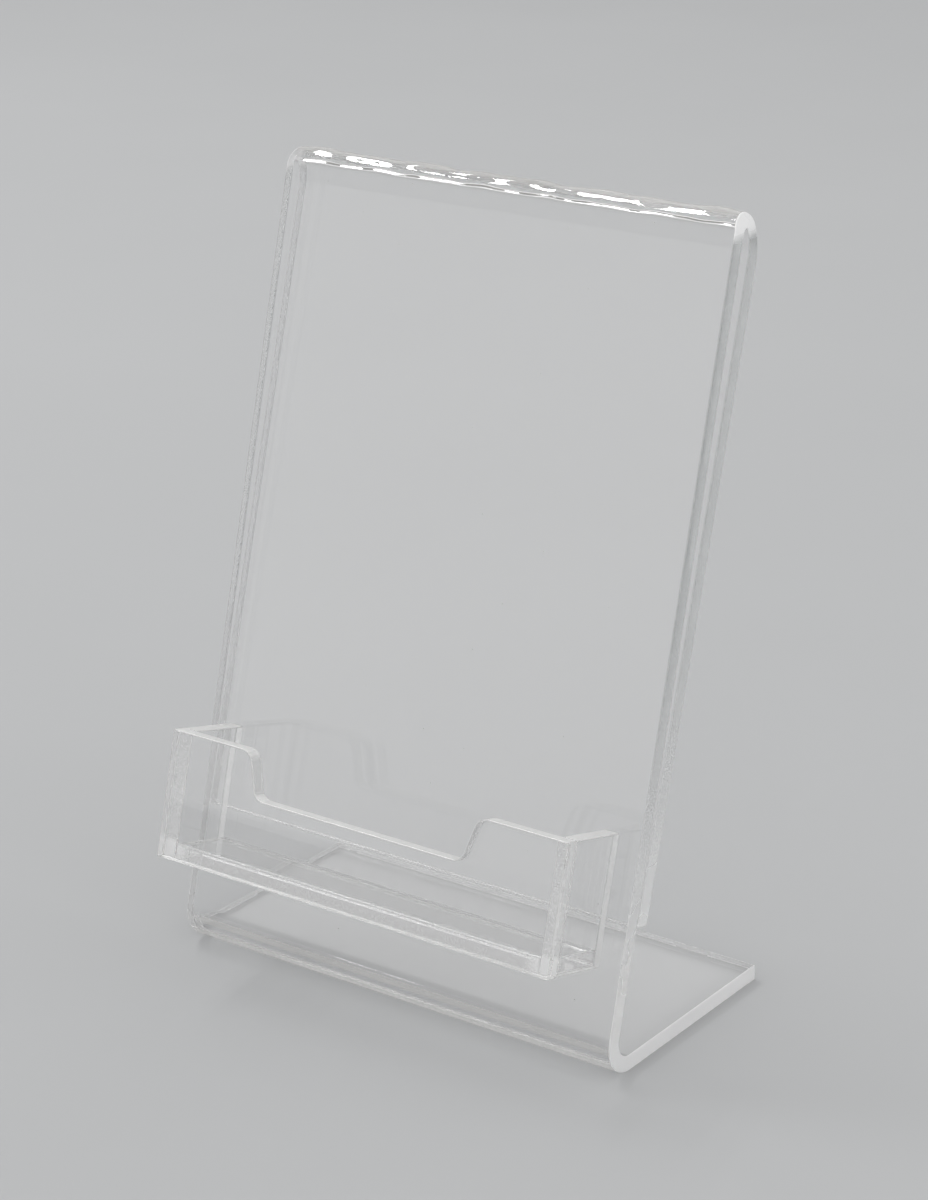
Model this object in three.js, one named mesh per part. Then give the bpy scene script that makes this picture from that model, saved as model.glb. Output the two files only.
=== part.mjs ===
// A slanted desk holder of clear acrylic: one strip of sheet, heat-bent into a foot, a front
// panel and a back panel folded down behind it, with a low pocket of four plates cemented to
// its front. Millimetres, +Z up, +X to the viewer's right; the front faces -Y.
// The origin is the middle of the foot's flat underside.

import * as THREE from 'three';

const { degToRad } = THREE.MathUtils;

// The bent strip
const sheetThickness = 3.175;
const standWidth = 101.6;
const footDepth = 44.45; // flat underside, front to back
const leanAngle = degToRad(15); // the front panel leans back from upright
const frontBendRadius = 3.8; // inside the bend between foot and front panel
const panelRise = 152.4; // along the front panel, from the front bend to the top of the fold
const foldRadius = 0.75; // inside the tight part of the top fold
const foldEaseRadius = 9.6; // inside the slack part, where the fold runs into the back panel
const foldEaseTurn = degToRad(31); // the share of the fold that is slack
const slotMouth = 0.3; // gap between the two panels at the back panel's lower edge
const backPanelStop = 21; // the back panel's lower edge, this far up from the front bend

// The pocket
const pocketThickness = 3.175; // of its four plates
const pocketMargin = 4.7625; // from each of its ends to the stand's edge
const pocketWidth = standWidth - 2 * pocketMargin;
const pocketHeight = 25.4; // along the front panel
const pocketDepth = 14.29; // between the front panel and the pocket's front plate
const pocketRise = 12.7; // its lower edge, up from the front bend
const notchWidth = 53.4; // thumb notch, across its mouth
const notchDepth = 9;
const notchSideLean = degToRad(16); // its sides close in towards its floor
const notchMouthRadius = 3;
const notchFloorRadius = 2.4;
const cementGap = 0.3; // bond line between cemented faces

// Fineness
const edgeRound = 0.25; // scraped edges of every cut outline
const edgeSteps = 2;
const bendStep = degToRad(4); // one facet of a bend
const filletSteps = 8; // facets of each rounded notch corner

// Clear cast acrylic with polished faces.
function clearAcrylic() {
  return new THREE.MeshStandardMaterial({
    color: 0xeef4f4,
    roughness: 0.06,
    metalness: 0,
    transparent: true,
    opacity: 0.35,
  });
}

// A flat outline given a thickness about its own plane, with its edges scraped round.
function cutFromSheet(outline, thickness) {
  const geometry = new THREE.ExtrudeGeometry(outline, {
    depth: thickness - 2 * edgeRound,
    curveSegments: filletSteps,
    bevelThickness: edgeRound,
    bevelSize: edgeRound,
    bevelOffset: -edgeRound,
    bevelSegments: edgeSteps,
  });
  geometry.translate(0, 0, edgeRound - thickness / 2);
  return geometry;
}

// The cross-section of a strip bent from flat sheet. The walk follows the outer face from
// start, and the inner face lies one thickness to its right. A run goes straight; a turn
// bends to the right about a centre inside the bend.
function bentSection(start, heading, steps) {
  const outer = [];
  const inner = [];
  const at = start.clone();
  let angle = heading;
  const inward = (distance) =>
    new THREE.Vector2(Math.sin(angle), -Math.cos(angle)).multiplyScalar(distance);
  const mark = () => {
    outer.push(at.clone());
    inner.unshift(at.clone().add(inward(sheetThickness)));
  };
  mark();
  for (const { run = 0, turn = 0, radius = 0 } of steps) {
    at.x += run * Math.cos(angle);
    at.y += run * Math.sin(angle);
    const facets = Math.ceil(turn / bendStep);
    const centre = at.clone().add(inward(radius + sheetThickness));
    for (let facet = 0; facet < facets; facet += 1) {
      angle -= turn / facets;
      at.copy(centre).sub(inward(radius + sheetThickness));
      mark();
    }
    if (run > 0) mark();
  }
  return new THREE.Shape([...outer, ...inner]);
}

// The strip: back along the foot to the front bend, up the front panel, over the top fold
// and down the back panel, which closes on the front panel as it comes down.
function bentStand() {
  const foldOuter = foldRadius + sheetThickness;
  const easeOuter = foldEaseRadius + sheetThickness;
  const tightTurn = Math.PI - foldEaseTurn;
  const frontRun = panelRise - foldOuter;
  const slotAtFold =
    foldRadius + foldEaseRadius + (foldEaseRadius - foldRadius) * Math.cos(tightTurn);
  const backDrop =
    frontRun - (easeOuter - foldOuter) * Math.sin(tightTurn) - backPanelStop;
  const closing = Math.atan((slotAtFold - slotMouth) / backDrop);
  const backRun = (backDrop - easeOuter * Math.sin(closing)) / Math.cos(closing);
  const section = bentSection(new THREE.Vector2(footDepth / 2, 0), Math.PI, [
    { run: footDepth },
    { turn: Math.PI / 2 + leanAngle, radius: frontBendRadius },
    { run: frontRun },
    { turn: tightTurn, radius: foldRadius },
    { turn: foldEaseTurn + closing, radius: foldEaseRadius },
    { run: backRun },
  ]);
  const geometry = cutFromSheet(section, standWidth);
  // The section is drawn in Y and Z, and its thickness runs across the stand in X.
  geometry.rotateX(Math.PI / 2).rotateZ(Math.PI / 2);
  const mesh = new THREE.Mesh(geometry, clearAcrylic());
  mesh.name = 'bent_stand';
  return mesh;
}

// A closed outline through the given corners, each rounded to its own radius if it has one.
function filletedOutline(corners) {
  const outline = new THREE.Shape();
  corners.forEach(({ x, y, radius = 0 }, index) => {
    const corner = new THREE.Vector2(x, y);
    const { x: beforeX, y: beforeY } = corners.at(index - 1);
    const { x: afterX, y: afterY } = corners[(index + 1) % corners.length];
    const back = new THREE.Vector2(beforeX, beforeY).sub(corner).normalize();
    const ahead = new THREE.Vector2(afterX, afterY).sub(corner).normalize();
    if (radius === 0) {
      if (index === 0) outline.moveTo(x, y);
      else outline.lineTo(x, y);
      return;
    }
    const halfAngle = Math.acos(back.dot(ahead)) / 2;
    const bisector = back.clone().add(ahead).normalize();
    const centre = corner.clone().addScaledVector(bisector, radius / Math.sin(halfAngle));
    const tangent = radius / Math.tan(halfAngle);
    const from = corner.clone().addScaledVector(back, tangent).sub(centre);
    const to = corner.clone().addScaledVector(ahead, tangent).sub(centre);
    const clockwise = back.cross(ahead) > 0;
    outline.absarc(centre.x, centre.y, radius, from.angle(), to.angle(), clockwise);
  });
  return outline;
}

// A rectangle standing on the middle of its lower edge.
function uprightRectangle(width, height) {
  return filletedOutline([
    { x: -width / 2, y: 0 },
    { x: width / 2, y: 0 },
    { x: width / 2, y: height },
    { x: -width / 2, y: height },
  ]);
}

// The pocket is laid out in its own frame: x across, y into the front panel's face and z up
// along the panel, from the middle of the pocket's lower edge on that face.

// The front plate covers the front ends of the sides and the floor. A wide notch in its
// upper edge lets a thumb push a card or leaflet out.
function pocketFront() {
  const half = pocketWidth / 2;
  const mouth = notchWidth / 2;
  const floor = mouth - notchDepth * Math.tan(notchSideLean);
  const sill = pocketHeight - notchDepth;
  const outline = filletedOutline([
    { x: -half, y: 0 },
    { x: half, y: 0 },
    { x: half, y: pocketHeight },
    { x: mouth, y: pocketHeight, radius: notchMouthRadius },
    { x: floor, y: sill, radius: notchFloorRadius },
    { x: -floor, y: sill, radius: notchFloorRadius },
    { x: -mouth, y: pocketHeight, radius: notchMouthRadius },
    { x: -half, y: pocketHeight },
  ]);
  const geometry = cutFromSheet(outline, pocketThickness).rotateX(Math.PI / 2);
  const mesh = new THREE.Mesh(geometry, clearAcrylic());
  mesh.name = 'pocket_front';
  mesh.position.y = -pocketDepth - pocketThickness / 2;
  return mesh;
}

// The sides and the floor fill the depth between the panel and the front plate, less a bond
// line at each end.
const cementedDepth = pocketDepth - 2 * cementGap;

// A side plate, on the left for side = -1 and on the right for side = 1.
function pocketSide(name, side) {
  const outline = uprightRectangle(cementedDepth, pocketHeight);
  const geometry = cutFromSheet(outline, pocketThickness);
  geometry.rotateX(Math.PI / 2).rotateZ(Math.PI / 2);
  const mesh = new THREE.Mesh(geometry, clearAcrylic());
  mesh.name = name;
  mesh.position.x = (side * (pocketWidth - pocketThickness)) / 2;
  mesh.position.y = -pocketDepth / 2;
  return mesh;
}

// The floor lies between the sides, flush with their lower edges.
function pocketFloor() {
  const width = pocketWidth - 2 * (pocketThickness + cementGap);
  const outline = uprightRectangle(width, cementedDepth);
  const geometry = cutFromSheet(outline, pocketThickness);
  const mesh = new THREE.Mesh(geometry, clearAcrylic());
  mesh.name = 'pocket_floor';
  mesh.position.y = cementGap - pocketDepth;
  mesh.position.z = pocketThickness / 2;
  return mesh;
}

// The pocket's frame on the front panel: from the end of the foot, round the outside of the
// front bend, and up the panel by the pocket's rise.
function pocket() {
  const bendOuter = frontBendRadius + sheetThickness;
  const group = new THREE.Group();
  group.add(
    pocketFront(),
    pocketSide('pocket_left_side', -1),
    pocketSide('pocket_right_side', 1),
    pocketFloor(),
  );
  group.rotation.x = -leanAngle;
  group.position.y =
    -footDepth / 2 - bendOuter * Math.cos(leanAngle) + pocketRise * Math.sin(leanAngle);
  group.position.z =
    bendOuter * (1 + Math.sin(leanAngle)) + pocketRise * Math.cos(leanAngle);
  return group;
}

const holder = new THREE.Group();
holder.name = 'brochure_holder';
holder.add(bentStand(), pocket());

export default holder;
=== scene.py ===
import bpy
import numpy as np
from mathutils import Matrix, Vector


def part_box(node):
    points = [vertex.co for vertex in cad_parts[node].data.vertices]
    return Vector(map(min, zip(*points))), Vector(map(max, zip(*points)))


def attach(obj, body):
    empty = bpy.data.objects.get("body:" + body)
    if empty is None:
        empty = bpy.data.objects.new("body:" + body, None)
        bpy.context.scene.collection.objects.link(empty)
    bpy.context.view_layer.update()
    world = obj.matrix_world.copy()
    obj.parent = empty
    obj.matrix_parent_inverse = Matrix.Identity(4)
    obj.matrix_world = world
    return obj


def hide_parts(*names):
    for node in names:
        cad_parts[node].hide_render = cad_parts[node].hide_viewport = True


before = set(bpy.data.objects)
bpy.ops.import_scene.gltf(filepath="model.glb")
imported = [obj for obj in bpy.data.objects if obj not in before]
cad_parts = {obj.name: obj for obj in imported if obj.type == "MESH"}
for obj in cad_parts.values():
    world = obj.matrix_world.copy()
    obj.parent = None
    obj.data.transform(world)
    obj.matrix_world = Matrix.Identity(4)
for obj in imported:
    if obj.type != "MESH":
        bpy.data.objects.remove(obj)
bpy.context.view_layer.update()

# The bent stand
# One strip of 1/8 inch cast acrylic, sawn to width, its cut edges scraped smooth, then
# softened over a hot wire and bent twice: an open bend between the foot and the front panel,
# and a tight fold at the top that brings the back panel down behind the front one.

MM = 0.001
SHEET = 3.175 * MM
FOOT_DEPTH = 44.45 * MM  # flat underside, front to back
LEAN = np.radians(15)  # the front panel leans back from upright
PANEL_RISE = 152.4 * MM  # along the front panel, from the front bend to the top of the fold
BACK_PANEL_STOP = 21 * MM  # the back panel's lower edge, this far up from the front bend
SLOT_MOUTH = 0.3 * MM  # between the two panels at that edge
FRONT_BEND = 3.8 * MM  # inside radius of the open bend
TIGHT_FOLD = 0.75 * MM  # inside radius of the tight part of the top fold
SLACK_FOLD = 9.6 * MM  # inside radius where the fold runs out into the back panel
SLACK_TURN = np.radians(31)

STRIP_ARRIS = 0.25 * MM  # the corners of the long edges, rounded by the scraper
END_ROUND = 0.3 * MM  # the corners of the foot's and the back panel's ends
END_TURN = np.radians(80)  # those corners turn this far, and a flat cap closes the end
OUTER_DENT = 0.6 * MM  # how deep the outer face is dented in the top fold
OUTER_WAVE, OUTER_START = 22 * MM, 3.3  # how long its waves are, and the angle they start at
INNER_CREASE = 0.08 * MM  # how far the squeezed inner face heaves there
INNER_WAVE, INNER_START = 13 * MM, 2.9
FOLD_PINCH = 0.8 * MM  # how far the stretched outer face draws in at each end of the fold

# The fineness of the mesh
HOLD = 0.06 * MM  # a narrow cell beside each rounded corner keeps the flat beside it flat
CORNER_CELLS = 5
FOOT_CELLS = 10
FRONT_BEND_CELLS = 48
TIGHT_CELLS = 140
SLACK_CELLS = 40
BACK_CELLS = 26
PANEL_CELL = 5 * MM  # the longest cell up the front panel
COLUMN = 1.6 * MM  # the widest cell across the strip

# Where the pocket is cemented on
POCKET_RISE = 12.7 * MM  # its lower edge, up from the front bend
POCKET_DEPTH = 14.29 * MM  # between the front panel and the pocket's front plate
POCKET_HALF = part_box("pocket_front")[1][0]
PLATE = 3.175 * MM
PLATE_ARRIS = 0.28 * MM
WELD_HALF = POCKET_HALF - PLATE - PLATE_ARRIS  # half the width of the seams of the pocket's floor

# The pocket's frame: across, out from the front panel's face and up along it, from the middle
# of the pocket's lower edge on that face
bend_start = -FOOT_DEPTH / 2
bend_outer = FRONT_BEND + SHEET
fold_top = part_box("bent_stand")[1][2]
ACROSS = np.array([1.0, 0, 0])
OUT = np.array([0, -np.cos(LEAN), np.sin(LEAN)])
UP = np.array([0, np.sin(LEAN), np.cos(LEAN)])
pocket_foot = np.array([0, bend_start, bend_outer]) + bend_outer * OUT + POCKET_RISE * UP


def arc(steps, end=np.pi / 2):
    """Angles from 0 to end, in even steps."""
    return np.linspace(0, end, steps + 1)


def walk(place, heading, steps):
    """The outer face of the sheet, walked in the plane of Y and Z. Each step is a run straight
    on, or a turn to the right about a centre one sheet and one inside radius away, in so many
    stretches. Returns the points and the unit vectors that point into the sheet."""
    places = [np.array([place])]
    inwards = [np.array([[np.sin(heading), -np.cos(heading)]])]
    for kind, size, radius, stretches in steps:
        share = np.linspace(0, 1, stretches + 1)[1:, None]
        if kind == "run":
            ahead = np.array([[np.cos(heading), np.sin(heading)]])
            places.append(places[-1][-1] + share * size * ahead)
            inwards.append(np.repeat(inwards[-1][-1:], stretches, axis=0))
        else:
            centre = places[-1][-1] + inwards[-1][-1] * (radius + SHEET)
            headings = heading - share * size
            inward = np.hstack([np.sin(headings), -np.cos(headings)])
            places.append(centre - inward * (radius + SHEET))
            inwards.append(inward)
            heading -= size
    return np.vstack(places), np.vstack(inwards)


def sheet_section(columns, half, inset):
    """The strip cut across: a rectangle with rounded corners, as a closed loop of places across
    the strip and depths below its outer face, for each inset of its outline. The first half of
    the loop runs from the left edge over the outer face to the right edge, and the second half
    is its mirror image in depth."""
    inset = inset[:, None]
    corner = STRIP_ARRIS - inset
    angle = arc(CORNER_CELLS)[None]
    left = -half + inset
    flat = np.tile(columns[1:-1], (len(inset), 1))
    across = np.hstack(
        [
            left,
            left + corner * (1 - np.cos(angle)),
            flat,
            -left - corner * (1 - np.sin(angle)),
            -left,
        ]
    )
    depth = np.hstack(
        [
            inset + corner + HOLD,
            inset + corner * (1 - np.sin(angle)),
            np.broadcast_to(inset, flat.shape),
            inset + corner * (1 - np.cos(angle)),
            inset + corner + HOLD,
        ]
    )
    across = np.hstack([across, across[:, ::-1]])
    depth = np.hstack([depth, SHEET - depth[:, ::-1]])
    return across, depth


def spaced(marks, step):
    """Places from the first mark to the last that meet every mark, at most a step apart."""
    stretches = [
        np.linspace(a, b, int(np.ceil((b - a) / step)) + 1)[:-1] for a, b in zip(marks, marks[1:])
    ]
    return np.concatenate([*stretches, marks[-1:]])


def both_ways(marks):
    """The marks and their mirror images, in order."""
    return np.unique(np.concatenate([-np.array(marks), marks]))


def new_piece(name, places, faces, slots, materials):
    """A mesh object at the origin from its points and its four-sided faces. If the faces enclose
    a negative volume they point inwards, and are all turned over."""
    a, b, c, d = places[faces].swapaxes(0, 1)
    volume = np.einsum("ij,ij->", a, np.cross(b, c) + np.cross(c, d))
    if volume < 0:
        faces = faces[:, ::-1]
    mesh = bpy.data.meshes.new(name)
    mesh.from_pydata(places.tolist(), [], faces.tolist())
    mesh.polygons.foreach_set("use_smooth", np.ones(len(faces), bool))
    for material in materials:
        mesh.materials.append(material)
    mesh.polygons.foreach_set("material_index", np.asarray(slots, np.int32))
    mesh.update()
    piece = bpy.data.objects.new(name, mesh)
    bpy.context.scene.collection.objects.link(piece)
    return piece


def middles(places, faces):
    """The mean of each face's corners."""
    return places[faces].mean(axis=1)


def linear(hex_code):
    """An sRGB hex colour as linear red, green, blue and alpha."""
    shown = np.array([int(hex_code[k : k + 2], 16) for k in (1, 3, 5)]) / 255
    low = shown / 12.92
    high = ((shown + 0.055) / 1.055) ** 2.4
    return (*np.where(shown <= 0.04045, low, high), 1.0)


def add(tree, kind, inputs=(), **settings):
    """Adds a node to the tree. An input is set to a value, or linked if it is given a socket.
    Where a node has several inputs of one name, a number tells them apart."""
    made = tree.nodes.new(kind)
    for name, value in settings.items():
        setattr(made, name, value)
    for socket, value in dict(inputs).items():
        if isinstance(value, bpy.types.NodeSocket):
            tree.links.new(value, made.inputs[socket])
        else:
            made.inputs[socket].default_value = value
    return made


def empty_material(name):
    """A material with a node tree that holds only its output."""
    material = bpy.data.materials.new(name)
    material.use_nodes = True
    tree = material.node_tree
    tree.nodes.clear()
    return material, tree, add(tree, "ShaderNodeOutputMaterial")


def let_lamps_through(tree, output, surface, clear, grazing):
    """Links a clear surface to the output so that lamps and stray light pass straight through
    it, dimmed to clear when they meet it square and to grazing when they skim it."""
    facing = add(tree, "ShaderNodeLayerWeight", {"Blend": 0.25}).outputs["Facing"]
    dim = add(
        tree,
        "ShaderNodeMix",
        {"Factor": facing, 6: linear(clear), 7: linear(grazing)},
        data_type="RGBA",
    )
    passed = add(tree, "ShaderNodeBsdfTransparent", {"Color": dim.outputs[2]})
    path = add(tree, "ShaderNodeLightPath")
    straight = add(
        tree,
        "ShaderNodeMath",
        {0: path.outputs["Is Shadow Ray"], 1: path.outputs["Is Diffuse Ray"]},
        operation="MAXIMUM",
    )
    mixed = add(
        tree,
        "ShaderNodeMixShader",
        {0: straight.outputs[0], 1: surface, 2: passed.outputs[0]},
    )
    tree.links.new(mixed.outputs[0], output.inputs["Surface"])


ACRYLIC_IOR = 1.49


def polished_cast_acrylic():
    """Cast acrylic as it leaves the glass mould: water clear, mirror smooth, with a faint drift
    in its flatness, a few smears where it was handled and a little dust. The top of the fold,
    which was stretched most, has turned hazy. The outside of the front bend is whitened by the
    same milky layer, partly haze from its stretching and partly a painted highlight along it."""
    material, tree, output = empty_material("polished_cast_acrylic")
    place = add(tree, "ShaderNodeTexCoord").outputs["Object"]
    drift = add(tree, "ShaderNodeTexNoise", {"Vector": place, "Scale": 1 / (22 * MM), "Detail": 1.0})
    bump = add(
        tree,
        "ShaderNodeBump",
        {"Height": drift.outputs[0], "Strength": 0.015, "Distance": 0.4 * MM},
    )
    smear = add(tree, "ShaderNodeTexNoise", {"Vector": place, "Scale": 1 / (14 * MM), "Detail": 4.0})
    smeared = add(
        tree,
        "ShaderNodeMapRange",
        {"Value": smear.outputs[0], "From Min": 0.52, "From Max": 0.75, "To Max": 0.04},
    )
    clear = add(
        tree,
        "ShaderNodeBsdfPrincipled",
        {
            "Base Color": linear("#fdfdfd"),
            "Roughness": smeared.outputs[0],
            "IOR": ACRYLIC_IOR,
            "Transmission Weight": 1.0,
            "Normal": bump.outputs[0],
        },
    )
    speck = add(tree, "ShaderNodeTexVoronoi", {"Vector": place, "Scale": 1 / (8 * MM)})
    dust = add(
        tree,
        "ShaderNodeMapRange",
        {"Value": speck.outputs["Distance"], "From Min": 0.022, "From Max": 0.016, "To Max": 0.5},
    )
    _, behind, height = add(tree, "ShaderNodeSeparateXYZ", {0: place}).outputs
    crest = add(
        tree,
        "ShaderNodeMapRange",
        {
            "Value": height,
            "From Min": fold_top - 0.9 * MM,
            "From Max": fold_top - 0.4 * MM,
            "To Max": 0.42,
        },
    )
    before = add(
        tree,
        "ShaderNodeMapRange",
        {"Value": behind, "From Min": bend_start, "From Max": bend_start - bend_outer},
    )
    below = add(
        tree,
        "ShaderNodeMapRange",
        {"Value": height, "From Min": bend_outer, "From Max": 0.0},
    )
    outside = add(
        tree,
        "ShaderNodeMath",
        {0: before.outputs[0], 1: below.outputs[0]},
        operation="MULTIPLY",
    )
    # Painted highlight, partly haze: a milky band along the outside of the front bend.
    bend_haze_and_highlight = add(
        tree,
        "ShaderNodeMapRange",
        {"Value": outside.outputs[0], "From Min": 0.3, "From Max": 0.48, "To Max": 0.4},
    )
    haze_and_bend_highlight = add(
        tree,
        "ShaderNodeMath",
        {0: crest.outputs[0], 1: bend_haze_and_highlight.outputs[0]},
        operation="MAXIMUM",
    )
    marks = add(
        tree,
        "ShaderNodeMath",
        {0: dust.outputs[0], 1: haze_and_bend_highlight.outputs[0]},
        operation="MAXIMUM",
    )
    lint_haze_and_highlight = add(tree, "ShaderNodeBsdfDiffuse", {"Color": linear("#f0eeea")})
    lit_through = add(tree, "ShaderNodeBsdfTranslucent", {"Color": linear("#f0eeea")})
    milky_and_highlight = add(
        tree,
        "ShaderNodeMixShader",
        {0: 0.5, 1: lint_haze_and_highlight.outputs[0], 2: lit_through.outputs[0]},
    )
    used = add(
        tree,
        "ShaderNodeMixShader",
        {0: marks.outputs[0], 1: clear.outputs[0], 2: milky_and_highlight.outputs[0]},
    )
    let_lamps_through(tree, output, used.outputs[0], "#fefefe", "#dcdcdc")
    return material


CRAZED_FROM = fold_top - 5.6 * MM  # where the edge begins to turn white under the fold
CRAZED_TO = fold_top - 3.6 * MM
FROSTED_TO = 12 * MM  # the edge is frosted up to this height
GLASSY_FROM = 90 * MM  # and glassy above this one


def scraped_acrylic_edge():
    """A sawn edge of the sheet, drawn smooth with a scraper. Round the foot and the front bend
    fine scratches frost it, so it glows pale; they are drawn coarser than they are, so that they
    show. Up the panels it is better polished and greyed, the front one more than the back one:
    partly the grey depth of the sheet and partly painted shade that darkens these edges. Where
    the top fold stretched it, it is crazed white."""
    material, tree, output = empty_material("scraped_acrylic_edge")
    place = add(tree, "ShaderNodeTexCoord").outputs["Object"]
    height = add(tree, "ShaderNodeSeparateXYZ", {0: place}).outputs["Z"]
    unstretched = add(
        tree,
        "ShaderNodeMapRange",
        {
            "Value": height,
            "From Min": CRAZED_FROM,
            "From Max": CRAZED_TO,
            "To Min": 1.0,
            "To Max": 0.0,
        },
    )
    up_panel = add(
        tree,
        "ShaderNodeMapRange",
        {"Value": height, "From Min": FROSTED_TO, "From Max": GLASSY_FROM},
        interpolation_type="SMOOTHSTEP",
    )
    out = add(tree, "ShaderNodeVectorMath", {0: place, 1: OUT}, operation="DOT_PRODUCT")
    rear_face = pocket_foot @ OUT - SHEET
    # The back panel's edge gets less of the polish and less of the painted shade.
    in_front = add(
        tree,
        "ShaderNodeMapRange",
        {
            "Value": out.outputs["Value"],
            "From Min": rear_face - 0.2 * MM,
            "From Max": rear_face,
            "To Min": 0.8,
        },
    )
    polished_and_shaded = add(
        tree,
        "ShaderNodeMath",
        {0: up_panel.outputs[0], 1: in_front.outputs[0]},
        operation="MULTIPLY",
    )
    glassy_and_shaded = add(
        tree,
        "ShaderNodeMath",
        {0: polished_and_shaded.outputs[0], 1: unstretched.outputs[0]},
        operation="MULTIPLY",
    )
    grit = add(tree, "ShaderNodeTexNoise", {"Vector": place, "Scale": 1 / (0.4 * MM), "Detail": 2.0})
    frost = add(
        tree,
        "ShaderNodeMapRange",
        {
            "Value": grit.outputs[0],
            "From Min": 0.35,
            "From Max": 0.65,
            "To Min": 0.5,
            "To Max": 0.42,
        },
    )
    clearer = add(
        tree,
        "ShaderNodeMath",
        {0: glassy_and_shaded.outputs[0], 1: 0.45, 2: frost.outputs[0]},
        operation="MULTIPLY_ADD",
    )
    clearness = add(
        tree,
        "ShaderNodeMath",
        {0: clearer.outputs[0], 1: unstretched.outputs[0]},
        operation="MULTIPLY",
    )
    uneven = add(tree, "ShaderNodeTexNoise", {"Vector": place, "Scale": 1 / (9 * MM), "Detail": 2.0})
    scratched = add(
        tree,
        "ShaderNodeMapRange",
        {
            "Value": uneven.outputs[0],
            "From Min": 0.3,
            "From Max": 0.7,
            "To Min": 0.25,
            "To Max": 0.35,
        },
    )
    rough = add(
        tree,
        "ShaderNodeMath",
        {0: glassy_and_shaded.outputs[0], 1: -0.18, 2: scratched.outputs[0]},
        operation="MULTIPLY_ADD",
    )
    # Painted shade, partly: the colour greys where the edge is polished, besides the sheet's own grey
    # depth.
    depth = add(
        tree,
        "ShaderNodeMix",
        {"Factor": glassy_and_shaded.outputs[0], 6: linear("#fafafa"), 7: linear("#cdcfcf")},
        data_type="RGBA",
    )
    edge = add(
        tree,
        "ShaderNodeBsdfPrincipled",
        {
            "Base Color": depth.outputs[2],
            "Roughness": rough.outputs[0],
            "IOR": ACRYLIC_IOR,
            "Transmission Weight": clearness.outputs[0],
        },
    )
    let_lamps_through(tree, output, edge.outputs[0], "#c8c8c8", "#9c9c9c")
    return material


def laser_cut_acrylic_edge():
    """An edge of the pocket. The laser left it fire polished and clear, with the faint ridges of
    the beam through the plate's thickness, drawn coarse enough to show. Where it looks up or
    down it is matt, so it shines white there, and it turns clear round the corners of the notch
    and down its steep sides. The matt finish is partly scraping and partly painted light: that
    it follows the way the edge faces paints the level edges as lit from above and the steep
    ones as unlit."""
    material, tree, output = empty_material("laser_cut_acrylic_edge")
    place = add(tree, "ShaderNodeTexCoord").outputs["Object"]
    across = add(tree, "ShaderNodeSeparateXYZ", {0: place}).outputs["X"]
    up = add(tree, "ShaderNodeVectorMath", {0: place, 1: UP}, operation="DOT_PRODUCT")
    along = add(tree, "ShaderNodeCombineXYZ", {0: across, 1: up.outputs["Value"]})
    beam = add(tree, "ShaderNodeTexNoise", {"Vector": along.outputs[0], "Scale": 1 / (0.5 * MM)})
    ridges = add(
        tree,
        "ShaderNodeBump",
        {"Height": beam.outputs[0], "Strength": 0.1, "Distance": 0.02 * MM},
    )
    normal = add(tree, "ShaderNodeNewGeometry").outputs["Normal"]
    slope = add(tree, "ShaderNodeSeparateXYZ", {0: normal}).outputs["Z"]
    level = add(tree, "ShaderNodeMath", {0: slope}, operation="ABSOLUTE")
    # Painted light: the edge is whiter and less clear the more level it lies, as if lit from above.
    painted_light_by_facing = {"Value": level.outputs[0], "From Min": 0.3, "From Max": 0.95}
    clearness = add(
        tree,
        "ShaderNodeMapRange",
        {**painted_light_by_facing, "To Min": 0.9, "To Max": 0.4},
    )
    rough = add(
        tree,
        "ShaderNodeMapRange",
        {**painted_light_by_facing, "To Min": 0.08, "To Max": 0.3},
    )
    edge = add(
        tree,
        "ShaderNodeBsdfPrincipled",
        {
            "Base Color": linear("#fcfcfb"),
            "Roughness": rough.outputs[0],
            "IOR": ACRYLIC_IOR,
            "Transmission Weight": clearness.outputs[0],
            "Normal": ridges.outputs[0],
        },
    )
    let_lamps_through(tree, output, edge.outputs[0], "#f0f0f0", "#c8c8c8")
    return material


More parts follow.
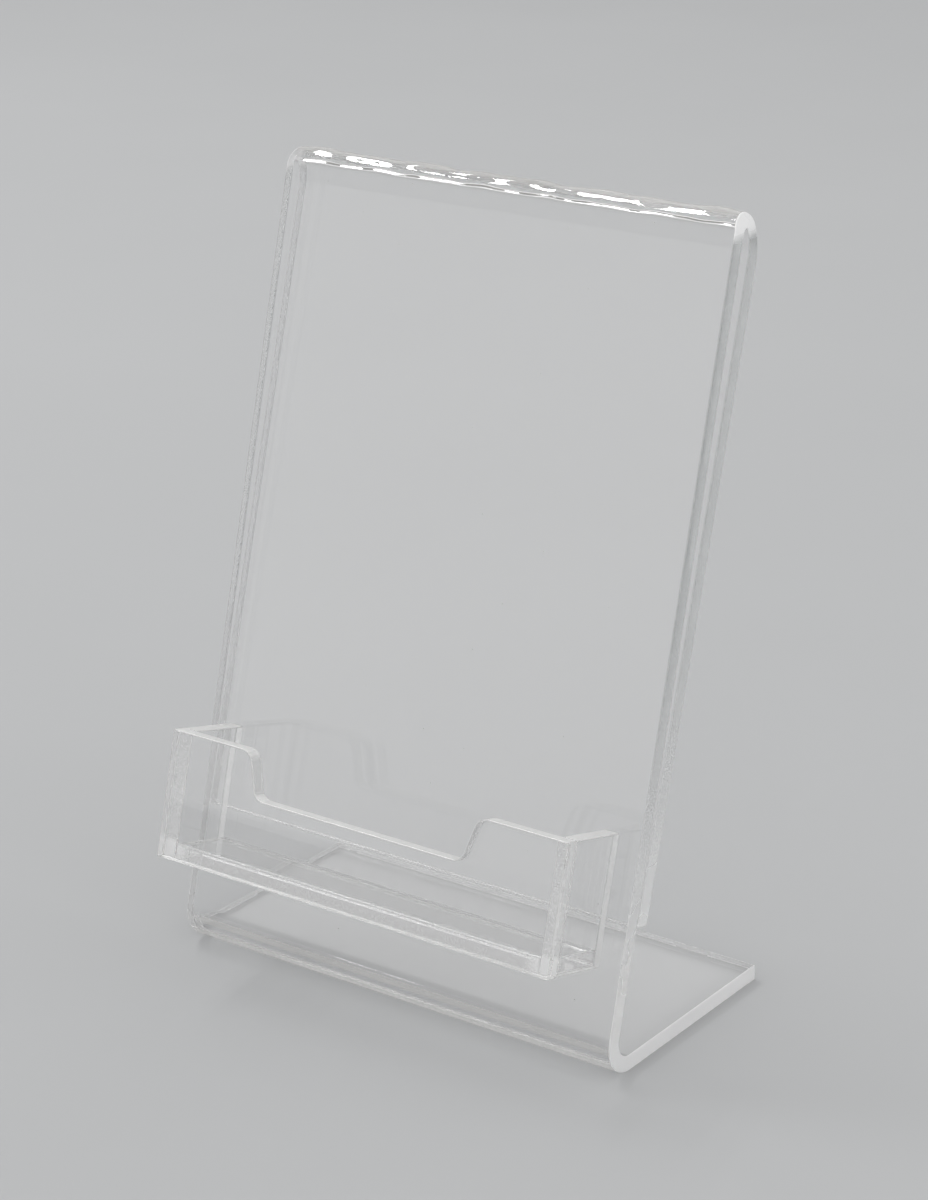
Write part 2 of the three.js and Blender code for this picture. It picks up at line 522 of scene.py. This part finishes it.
def cement_film():
    """The solvent cement between two plates. Where it wetted both, they are one clear body and
    light goes straight through; it dried with fine specks, and here and there it left air that
    shines like a mirror. In the pocket's lower front corners it is whitened further, a painted
    highlight for the light that the plates pipe to the joint there."""
    material, tree, output = empty_material("cement_film")
    place = add(tree, "ShaderNodeTexCoord").outputs["Object"]
    grain = add(tree, "ShaderNodeTexNoise", {"Vector": place, "Scale": 1 / (0.3 * MM), "Detail": 3.0})
    specks = add(
        tree,
        "ShaderNodeMapRange",
        {
            "Value": grain.outputs[0],
            "From Min": 0.35,
            "From Max": 0.65,
            "To Min": 0.06,
            "To Max": 0.26,
        },
    )
    up = add(tree, "ShaderNodeVectorMath", {0: place, 1: UP}, operation="DOT_PRODUCT")
    beside_floor = pocket_foot @ UP + PLATE
    low = add(
        tree,
        "ShaderNodeMapRange",
        {
            "Value": up.outputs["Value"],
            "From Min": beside_floor,
            "From Max": beside_floor + 1 * MM,
            "To Min": 1.0,
            "To Max": 0.0,
        },
    )
    across = add(tree, "ShaderNodeSeparateXYZ", {0: place}).outputs["X"]
    from_middle = add(tree, "ShaderNodeMath", {0: across}, operation="ABSOLUTE")
    inside = POCKET_HALF - PLATE
    # Painted highlight: the lower front corners are whitened where the plates pipe light to the
    # joint.
    corner_highlight = add(
        tree,
        "ShaderNodeMapRange",
        {
            "Value": from_middle.outputs[0],
            "From Min": inside - PLATE,
            "From Max": inside,
            "To Max": 0.9,
        },
    )
    out = add(tree, "ShaderNodeVectorMath", {0: place, 1: OUT}, operation="DOT_PRODUCT")
    seam = pocket_foot @ OUT + POCKET_DEPTH
    in_front = add(
        tree,
        "ShaderNodeMapRange",
        {"Value": out.outputs["Value"], "From Min": seam - PLATE, "From Max": seam},
    )
    corner = add(
        tree,
        "ShaderNodeMath",
        {0: corner_highlight.outputs[0], 1: in_front.outputs[0]},
        operation="MULTIPLY",
    )
    specks_and_corner_highlight = add(
        tree,
        "ShaderNodeMath",
        {0: low.outputs[0], 1: corner.outputs[0], 2: specks.outputs[0]},
        operation="MULTIPLY_ADD",
    )
    patch = add(tree, "ShaderNodeTexNoise", {"Vector": place, "Scale": 1 / (5 * MM), "Detail": 4.0})
    starved = add(
        tree,
        "ShaderNodeMapRange",
        {"Value": patch.outputs[0], "From Min": 0.72, "From Max": 0.73},
    )
    weld = add(tree, "ShaderNodeBsdfTransparent", {"Color": linear("#fefefe")})
    dried_specks_and_highlight = add(
        tree,
        "ShaderNodeBsdfPrincipled",
        {"Base Color": linear("#fafafa"), "Roughness": 0.6},
    )
    specked_and_highlit = add(
        tree,
        "ShaderNodeMixShader",
        {0: specks_and_corner_highlight.outputs[0], 1: weld.outputs[0], 2: dried_specks_and_highlight.outputs[0]},
    )
    air = add(
        tree,
        "ShaderNodeBsdfPrincipled",
        {
            "Base Color": linear("#fdfdfd"),
            "IOR": ACRYLIC_IOR,
            "Roughness": 0.08,
            "Transmission Weight": 1.0,
        },
    )
    film = add(
        tree,
        "ShaderNodeMixShader",
        {0: starved.outputs[0], 1: specked_and_highlit.outputs[0], 2: air.outputs[0]},
    )
    let_lamps_through(tree, output, film.outputs[0], "#f8f8f8", "#e8e8e8")
    return material


# The finishes of a piece, and the number of each
FACE, EDGE, WELD, CUT = range(4)
finishes = [
    polished_cast_acrylic(),
    scraped_acrylic_edge(),
    cement_film(),
    laser_cut_acrylic_edge(),
]


def welded_to_panel(centres):
    """Which cells of the front panel's face lie under the rear edge of the pocket's floor."""
    across = np.abs(centres[:, 0])
    out = (centres - pocket_foot) @ OUT
    up = (centres - pocket_foot) @ UP
    on_face = np.abs(out) < HOLD
    under_floor = (up > PLATE_ARRIS) & (up < PLATE - PLATE_ARRIS)
    return on_face & under_floor & (across < WELD_HALF)


def wrinkle(across, turned, length, start):
    """Waves across the strip, between -1 and 1: three sines whose lengths share no factor, each
    shifted on as the fold turns."""
    turns = 2 * np.pi * across / length
    return (
        np.sin(turns + 2.6 * turned + start)
        + np.sin(1.71 * turns - 4.1 * turned + 3 * start)
        + np.sin(2.93 * turns + 1.9 * turned + 7 * start) / 2
    ) / 2.5


def bent_strip():
    """The sheet's section carried along the walk from the foot's rear edge to the back panel's
    lower edge. At both ends the section shrinks along most of a quarter circle, and a flat cap
    closes it. In the top fold both faces are wrinkled by sums of sines across the strip, and the
    stretched outer face draws in at the ends."""
    # The fold turns a little past straight down, so that the slot closes to its mouth.
    fold_outer = TIGHT_FOLD + SHEET
    slack_outer = SLACK_FOLD + SHEET
    tight_turn = np.pi - SLACK_TURN
    front_run = PANEL_RISE - fold_outer
    slot_at_fold = TIGHT_FOLD + SLACK_FOLD + (SLACK_FOLD - TIGHT_FOLD) * np.cos(tight_turn)
    back_drop = front_run - (slack_outer - fold_outer) * np.sin(tight_turn) - BACK_PANEL_STOP
    closing = np.arctan((slot_at_fold - SLOT_MOUTH) / back_drop)
    back_run = (back_drop - slack_outer * np.sin(closing)) / np.cos(closing)
    panel_marks = [0, POCKET_RISE + PLATE_ARRIS, POCKET_RISE + PLATE - PLATE_ARRIS, front_run]
    panel_runs = [("run", run, 0, int(np.ceil(run / PANEL_CELL))) for run in np.diff(panel_marks)]
    steps = [
        ("run", FOOT_DEPTH - END_ROUND, 0, FOOT_CELLS),
        ("turn", np.pi / 2 + LEAN, FRONT_BEND, FRONT_BEND_CELLS),
        *panel_runs,
        ("turn", tight_turn, TIGHT_FOLD, TIGHT_CELLS),
        ("turn", SLACK_TURN + closing, SLACK_FOLD, SLACK_CELLS),
        ("run", back_run - END_ROUND, 0, BACK_CELLS),
    ]
    start = np.array([FOOT_DEPTH / 2 - END_ROUND, 0])
    points, inwards = walk(start, np.pi, steps)
    fold_cells = TIGHT_CELLS + SLACK_CELLS
    fold_start = len(points) - BACK_CELLS - fold_cells
    turned = np.clip((np.arange(len(points)) - fold_start) / fold_cells, 0, 1)

    # The rounded ends
    ends = arc(CORNER_CELLS, END_TURN)[1:]
    ends_inset = END_ROUND * (1 - np.cos(ends))
    ends_inset = np.append(ends_inset, ends_inset[-1] + HOLD)
    ends_ahead = END_ROUND * np.sin(ends)
    ends_ahead = np.append(ends_ahead, ends_ahead[-1])[:, None]

    def beyond(point, inward, sign):
        """The walk run on past one of its ends, forwards for a sign of 1 and backwards for -1."""
        ahead = np.array([-inward[1], inward[0]]) * sign
        return point + ends_ahead * ahead, np.repeat(inward[None], len(ends_ahead), axis=0)

    first, first_in = beyond(points[0], inwards[0], -1)
    last, last_in = beyond(points[-1], inwards[-1], 1)
    points = np.vstack([first[::-1], points, last])
    inwards = np.vstack([first_in, inwards, last_in])
    inset = np.concatenate([ends_inset[::-1], np.zeros(len(turned)), ends_inset])
    turned = np.concatenate([np.zeros(len(ends_inset)), turned, np.ones(len(ends_inset))])

    # The section at every place of the walk, wrinkled and drawn in at the top fold
    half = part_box("bent_stand")[1][0]
    column_marks = both_ways([WELD_HALF, half - STRIP_ARRIS - HOLD, half - STRIP_ARRIS])
    columns = spaced(column_marks, COLUMN)
    across, depth = sheet_section(columns, half, inset)
    plain = across[len(across) // 2]
    cut_edge = np.abs(plain + np.roll(plain, -1)) / 2 > half - STRIP_ARRIS
    turned = turned[:, None]
    in_fold = np.sin(np.pi * turned) ** 2
    share = depth / SHEET
    across = across * (1 - FOLD_PINCH / half * np.sqrt(in_fold) * (1 - share))
    dent = OUTER_DENT * in_fold * (1 + wrinkle(across, turned, OUTER_WAVE, OUTER_START)) / 2
    crease = INNER_CREASE * in_fold * wrinkle(across, turned, INNER_WAVE, INNER_START)
    depth = depth + dent * (1 - share) - crease * share
    section = points[:, None] + inwards[:, None] * depth[..., None]
    places = np.concatenate([across[..., None], section], axis=2)

    # Walls from each section to the next, and a cap at each end
    rings, around = across.shape
    index = np.arange(rings * around).reshape(rings, around)
    this, ahead = index[:-1], index[1:]
    walls = np.stack([this, np.roll(this, -1, 1), np.roll(ahead, -1, 1), ahead], axis=-1)
    outer, inner = np.split(index[[0, -1]], 2, axis=1)
    inner = inner[:, ::-1]
    caps = np.stack([outer[:, :-1], inner[:, :-1], inner[:, 1:], outer[:, 1:]], axis=-1)
    faces = np.vstack([walls.reshape(-1, 4), caps[0], caps[1, :, ::-1]])
    places = places.reshape(-1, 3)
    at_end = inset[:-1] + inset[1:] > 0
    wall_slots = np.where(cut_edge | at_end[:, None], EDGE, FACE)
    slots = np.append(wall_slots, np.full(caps[..., 0].size, EDGE))
    slots[welded_to_panel(middles(places, faces))] = WELD
    return new_piece("bent_strip", places, faces, slots, finishes)


stand = bent_strip()
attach(stand, "root")
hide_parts("bent_stand")

# The pocket's front plate
# A strip of the same sheet, cut by laser with a wide thumb notch in its upper edge, and cemented
# over the front ends of the pocket's sides and floor.

POCKET_HEIGHT = 25.4 * MM
NOTCH_HALF = 26.7 * MM  # half the notch's mouth
NOTCH_DEPTH = 9 * MM
NOTCH_LEAN = np.radians(16)  # its sides close in towards its floor
NOTCH_MOUTH = 3 * MM  # radius of the corners at its mouth
NOTCH_FLOOR = 2.4 * MM  # and at its floor

PLATE_SKIN = 0.01 * MM  # cells whose middle lies this close to a face belong to the face
PLATE_CORNER_CELLS = 4
PLATE_COLUMN = 3 * MM
RISE_CELLS = 8
RISE_CROWDING = 0.8  # under 1, the rows draw closer together towards the upper edge
TOP_ROW = 0.99  # one more row just under the upper edge keeps the face flat up to it
NOTCH_CORNER_CELLS = 10
NOTCH_SIDE_CELLS = 5


def plate(name, top, normals, marks, axes, origin, slot_of):
    """A flat plate with square corners and rounded edges. Its face is ruled with straight
    uprights from its level lower edge to the curve of its upper edge, at the marked heights and
    then in shares that grow smaller. The outline shrinks by a quarter round at each face, and a
    wall joins the faces. slot_of gives each cell its finish from its place across, up and
    deep."""
    rise = np.linspace(0, 1, RISE_CELLS + 1)[1:, None] ** RISE_CROWDING
    rise = np.vstack([rise[:-1], [[TOP_ROW]], rise[-1:]])

    def face(inset):
        """The grid of points on a face whose outline is drawn in by the inset."""
        left, right = top[0, 0] + inset, top[-1, 0] - inset
        foot = np.clip(top[:, 0], left, right)
        head = top - inset * normals
        rows = np.concatenate([[inset], marks])
        low = np.stack(np.broadcast_arrays(foot[None], rows[:, None]), axis=2)
        high = low[-1] + (head - low[-1]) * rise[..., None]
        return np.concatenate([low, high])

    # The rim of the face, and the rings that carry it round the edge to the other face
    rows, columns = face(0).shape[:2]
    grid = np.arange(rows * columns).reshape(rows, columns)
    rim = np.concatenate([grid[0], grid[1:, -1], grid[-1, -2::-1], grid[-2:0:-1, 0]])
    angle = arc(PLATE_CORNER_CELLS)[1:]
    insets = np.append(PLATE_ARRIS * (1 - np.sin(angle)), 0)
    depths = np.append(PLATE_ARRIS * (1 - np.cos(angle)), PLATE_ARRIS + HOLD)
    insets = np.concatenate([insets, insets[::-1]])
    depths = np.concatenate([depths, PLATE - depths[::-1]])

    def flat(points, depth):
        """Points of a face, put at a depth."""
        return np.column_stack([points, np.full(len(points), depth)])

    shell = face(PLATE_ARRIS).reshape(-1, 2)
    bands = [flat(face(inset).reshape(-1, 2)[rim], depth) for inset, depth in zip(insets, depths)]
    local = np.vstack([flat(shell, 0), *bands, flat(shell, PLATE)])

    rear = rows * columns + len(rim) * len(bands)
    middle_rings = rows * columns + np.arange(len(rim) * len(bands)).reshape(len(bands), -1)
    rings = np.vstack([rim, middle_rings, rim + rear])
    walls = np.stack(
        [rings[:-1], rings[1:], np.roll(rings[1:], -1, 1), np.roll(rings[:-1], -1, 1)], axis=-1
    )
    front = np.stack([grid[:-1, :-1], grid[:-1, 1:], grid[1:, 1:], grid[1:, :-1]], axis=-1)
    front = front.reshape(-1, 4)
    faces = np.vstack([front, walls.reshape(-1, 4), (front + rear)[:, ::-1]])
    slots = slot_of(middles(local, faces))
    return new_piece(name, origin + local @ np.array(axes), faces, slots, finishes)


def notched_top(half, marks):
    """The front plate's upper edge from left to right, with its outward normals. The corners of
    the notch are arcs: they turn the normal from straight up to the notch's leaning side and
    back, about centres inside and outside the plate. The normals at the plate's own two corners
    are mitred."""
    lean_in = np.pi / 2 - NOTCH_LEAN  # how far the edge turns at each corner of the notch
    floor_half = NOTCH_HALF - NOTCH_DEPTH * np.tan(NOTCH_LEAN)
    sill = POCKET_HEIGHT - NOTCH_DEPTH
    mouth_centre = np.array(
        [NOTCH_HALF + NOTCH_MOUTH * np.tan(lean_in / 2), POCKET_HEIGHT - NOTCH_MOUTH]
    )
    floor_centre = np.array([floor_half - NOTCH_FLOOR * np.tan(lean_in / 2), sill + NOTCH_FLOOR])
    angle = arc(NOTCH_CORNER_CELLS, lean_in)[:, None]
    outward = np.hstack([-np.sin(angle), np.cos(angle)])
    mouth = mouth_centre + NOTCH_MOUTH * outward
    floor = floor_centre - NOTCH_FLOOR * outward[::-1]
    side_share = np.linspace(0, 1, NOTCH_SIDE_CELLS + 1)[1:-1, None]
    side = mouth[-1] + (floor[0] - mouth[-1]) * side_share
    flat_sill = spaced([0.0, floor_centre[0]], PLATE_COLUMN)[:-1]
    flat_top = spaced([mouth_centre[0], *marks, half], PLATE_COLUMN)[1:]
    right = np.vstack(
        [
            np.column_stack([flat_sill, np.full(len(flat_sill), sill)]),
            floor[::-1],
            side[::-1],
            mouth[::-1],
            np.column_stack([flat_top, np.full(len(flat_top), POCKET_HEIGHT)]),
        ]
    )
    level = [[0.0, 1.0]]
    normals = np.vstack(
        [
            level * len(flat_sill),
            outward,
            np.repeat(outward[-1:], len(side), axis=0),
            outward[::-1],
            level * (len(flat_top) - 1),
            [[1.0, 1.0]],
        ]
    )
    flip = np.array([-1, 1])
    return np.vstack([right[:0:-1] * flip, right]), np.vstack([normals[:0:-1] * flip, normals])


def front_plate_slots(centres):
    """The rear face is cemented where the sides and the floor meet it."""
    across, up, depth = np.abs(centres[:, 0]), centres[:, 1], centres[:, 2]
    slots = np.where((depth > PLATE_SKIN) & (depth < PLATE - PLATE_SKIN), CUT, FACE)
    rear = depth > PLATE - PLATE_SKIN
    side = (across > POCKET_HALF - PLATE + PLATE_ARRIS) & rear
    floor = (across < WELD_HALF) & (up < PLATE - PLATE_ARRIS) & rear
    slots[side | floor] = WELD
    return slots


side_marks = [
    WELD_HALF,
    POCKET_HALF - PLATE + PLATE_ARRIS,
    POCKET_HALF - PLATE_ARRIS - HOLD,
]
low_marks = np.array([PLATE_ARRIS + HOLD, PLATE - PLATE_ARRIS])
front_top, front_normals = notched_top(POCKET_HALF, side_marks)
front_plate = plate(
    "pocket_front_plate",
    front_top,
    front_normals,
    low_marks,
    (ACROSS, UP, -OUT),
    pocket_foot + (POCKET_DEPTH + PLATE) * OUT,
    front_plate_slots,
)
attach(front_plate, "root")
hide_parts("pocket_front")

# The pocket's side plates
# Two short plates of the same sheet, cemented by their ends to the front panel and to the
# pocket's front plate.

FILM = 0.01 * MM  # the cement between two plates


def level_top(left, right, height):
    """A level upper edge with its normals, mitred at the two corners."""
    flat = PLATE_ARRIS + HOLD
    across = spaced([left, left + flat, right - flat, right], PLATE_COLUMN)
    top = np.column_stack([across, np.full(len(across), height)])
    normals = np.tile([0.0, 1.0], (len(across), 1))
    normals[0, 0], normals[-1, 0] = -1, 1
    return top, normals


def side_plate_slots(centres):
    """The front end is welded, and so is the foot of the inner face, where the floor meets it.
    The rear end has the look of a scraped edge, because its cement caught only the high spots."""
    along, up, depth = centres.T
    edge = (depth > PLATE_SKIN) & (depth < PLATE - PLATE_SKIN)
    slots = np.where(edge, CUT, FACE)
    slots[edge & (along < FILM + PLATE_SKIN)] = EDGE
    slots[edge & (along > POCKET_DEPTH - FILM - PLATE_SKIN)] = WELD
    slots[(depth > PLATE - PLATE_SKIN) & (up < PLATE - PLATE_ARRIS)] = WELD
    return slots


for hand, node, side in ((-1, "pocket_left_side", "left"), (1, "pocket_right_side", "right")):
    side_plate = plate(
        f"pocket_{side}_plate",
        *level_top(FILM, POCKET_DEPTH - FILM, POCKET_HEIGHT),
        low_marks,
        (OUT, UP, -hand * ACROSS),
        pocket_foot + hand * POCKET_HALF * ACROSS,
        side_plate_slots,
    )
    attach(side_plate, "root")
    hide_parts(node)

# The pocket's floor
# A plate of the same sheet between the two sides, cemented on all four edges, flush with the
# sides' lower edges.


def floor_plate_slots(centres):
    """All four edges are cemented, and their arrises are scraped."""
    depth = centres[:, 2]
    slots = np.where((depth > PLATE_SKIN) & (depth < PLATE - PLATE_SKIN), EDGE, FACE)
    slots[(depth > PLATE_ARRIS) & (depth < PLATE - PLATE_ARRIS)] = WELD
    return slots


floor_half = POCKET_HALF - PLATE - FILM
floor_plate = plate(
    "pocket_floor_plate",
    *level_top(-floor_half, floor_half, POCKET_DEPTH - FILM),
    low_marks[:1],
    (ACROSS, OUT, UP),
    pocket_foot,
    floor_plate_slots,
)
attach(floor_plate, "root")
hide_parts("pocket_floor")

# The studio
# A pale grey paper floor in a room with pale walls, lit by two strip lights high on the left,
# which draw the rows of glints along the top fold, and a softbox on the right.

FLOOR_HALF = 3.0
FLOOR_GAP = 0.05 * MM  # the air film under the foot


def paper_sweep():
    """Matt coated paper: a pale neutral grey with a faint cloudy tone, six clouds to the metre."""
    material, tree, output = empty_material("matt_paper")
    place = add(tree, "ShaderNodeTexCoord").outputs["Object"]
    cloud = add(tree, "ShaderNodeTexNoise", {"Vector": place, "Scale": 6.0, "Detail": 3.0})
    tone = add(
        tree,
        "ShaderNodeMix",
        {"Factor": cloud.outputs[0], 6: linear("#c0c1c2"), 7: linear("#c5c6c7")},
        data_type="RGBA",
    )
    paper = add(
        tree,
        "ShaderNodeBsdfPrincipled",
        {"Base Color": tone.outputs[2], "Roughness": 0.9, "Specular IOR Level": 0.15},
    )
    tree.links.new(paper.outputs[0], output.inputs["Surface"])
    return material


corners = np.array([[-1, -1], [1, -1], [1, 1], [-1, 1]]) * FLOOR_HALF
floor_mesh = bpy.data.meshes.new("floor")
floor_mesh.from_pydata([(x, y, -FLOOR_GAP) for x, y in corners], [], [[0, 1, 2, 3]])
floor_mesh.materials.append(paper_sweep())
floor = bpy.data.objects.new("floor", floor_mesh)
bpy.context.scene.collection.objects.link(floor)


def softbox(name, place, aim, along, size, watts):
    """A rectangular lamp that faces the point it is aimed at, with its first side turned as
    nearly as it can be along a direction."""
    lamp = bpy.data.lights.new(name, "AREA")
    lamp.shape = "RECTANGLE"
    lamp.size, lamp.size_y = size
    lamp.energy = watts
    away = (Vector(place) - Vector(aim)).normalized()
    side = (Vector(along) - away * away.dot(Vector(along))).normalized()
    box = bpy.data.objects.new(name, lamp)
    box.matrix_world = Matrix(
        [*np.column_stack([side, away.cross(side), away, place]), (0, 0, 0, 1)]
    )
    bpy.context.scene.collection.objects.link(box)


FOLD_MIDDLE = (0, 0, 0.15)
STRIP_LINE = (0, 0.974, -0.228)  # the way both strips run, from front to back
softbox("far_strip", (-1.04, 0.31, 1.46), FOLD_MIDDLE, STRIP_LINE, (1.0, 0.07), 5.5)
softbox("near_strip", (-0.84, 0.10, 1.51), FOLD_MIDDLE, STRIP_LINE, (0.7, 0.06), 3.5)
softbox("side", (1.3, -0.2, 0.7), (0, 0, 0.08), (0, 1, 0), (1.6, 0.9), 5)

# The room: it pales upwards and is palest in front. A dark screen behind the strip lamps keeps
# the fold dark between its glints, and a bright patch of wall at the back shows in the foot.
# Each of the two is given by its direction from the stand, about one unit long.
DARK_SCREEN = (-0.62, 0.25, 0.74)
BRIGHT_WALL = (-0.53, 0.72, 0.45)

world = bpy.data.worlds.new("studio")
world.use_nodes = True
sky = world.node_tree
sky.nodes.clear()
direction = add(sky, "ShaderNodeTexCoord").outputs["Generated"]
_, ahead, height = add(sky, "ShaderNodeSeparateXYZ", {0: direction}).outputs
sweep = add(
    sky,
    "ShaderNodeMapRange",
    {"Value": height, "From Max": 0.4, "To Min": 0.5, "To Max": 0.75},
    interpolation_type="SMOOTHSTEP",
)
front_wall = add(
    sky,
    "ShaderNodeMapRange",
    {"Value": ahead, "From Min": 0.2, "From Max": -0.6, "To Max": 0.92},
)
room = add(
    sky,
    "ShaderNodeMath",
    {0: sweep.outputs[0], 1: front_wall.outputs[0]},
    operation="MAXIMUM",
)
toward_screen = add(
    sky,
    "ShaderNodeVectorMath",
    {0: direction, 1: DARK_SCREEN},
    operation="DOT_PRODUCT",
)
shade = add(
    sky,
    "ShaderNodeMapRange",
    {
        "Value": toward_screen.outputs["Value"],
        "From Min": 0.82,
        "From Max": 0.94,
        "To Min": 1.0,
        "To Max": 0.2,
    },
    interpolation_type="SMOOTHSTEP",
)
toward_wall = add(
    sky,
    "ShaderNodeVectorMath",
    {0: direction, 1: BRIGHT_WALL},
    operation="DOT_PRODUCT",
)
glow = add(
    sky,
    "ShaderNodeMapRange",
    {
        "Value": toward_wall.outputs["Value"],
        "From Min": 0.972,
        "From Max": 0.995,
        "To Max": 0.45,
    },
    interpolation_type="SMOOTHSTEP",
)
wall = add(
    sky,
    "ShaderNodeMath",
    {0: room.outputs[0], 1: shade.outputs[0], 2: glow.outputs[0]},
    operation="MULTIPLY_ADD",
)
air = add(sky, "ShaderNodeBackground", {"Color": linear("#f4f4f4"), "Strength": wall.outputs[0]})
add(sky, "ShaderNodeOutputWorld", {"Surface": air.outputs[0]})
bpy.context.scene.world = world

# The camera
# The photograph's viewpoint, in front of the stand's right-hand end and a little above it,
# solved from the straight edges in the picture.

CAMERA_PLACE = (0.334545, -0.458663, 0.285407)
AZIMUTH, ELEVATION, ROLL = np.radians([36.31, 20.31, -0.648])
FOCAL_PIXELS, IMAGE_HEIGHT = 3169.9, 1200
SENSOR = 36.0
BOUNCES = 96  # light runs a long way inside clear sheet before it comes out at an edge

back = np.array(
    [
        np.sin(AZIMUTH) * np.cos(ELEVATION),
        -np.cos(AZIMUTH) * np.cos(ELEVATION),
        np.sin(ELEVATION),
    ]
)
level = np.array([np.cos(AZIMUTH), np.sin(AZIMUTH), 0])
upright = np.cross(back, level)
right = np.cos(ROLL) * level + np.sin(ROLL) * upright
upward = -np.sin(ROLL) * level + np.cos(ROLL) * upright
lens = bpy.data.cameras.new("camera")
lens.sensor_width = SENSOR
lens.lens = FOCAL_PIXELS / IMAGE_HEIGHT * SENSOR
camera = bpy.data.objects.new("camera", lens)
camera.matrix_world = Matrix([*np.column_stack([right, upward, back, CAMERA_PLACE]), (0, 0, 0, 1)])
bpy.context.scene.collection.objects.link(camera)

scene = bpy.context.scene
scene.camera = camera
scene.view_settings.view_transform = "Standard"
scene.cycles.caustics_reflective = False
scene.cycles.caustics_refractive = False
scene.cycles.max_bounces = BOUNCES
scene.cycles.glossy_bounces = BOUNCES
scene.cycles.transmission_bounces = BOUNCES
scene.cycles.transparent_max_bounces = BOUNCES
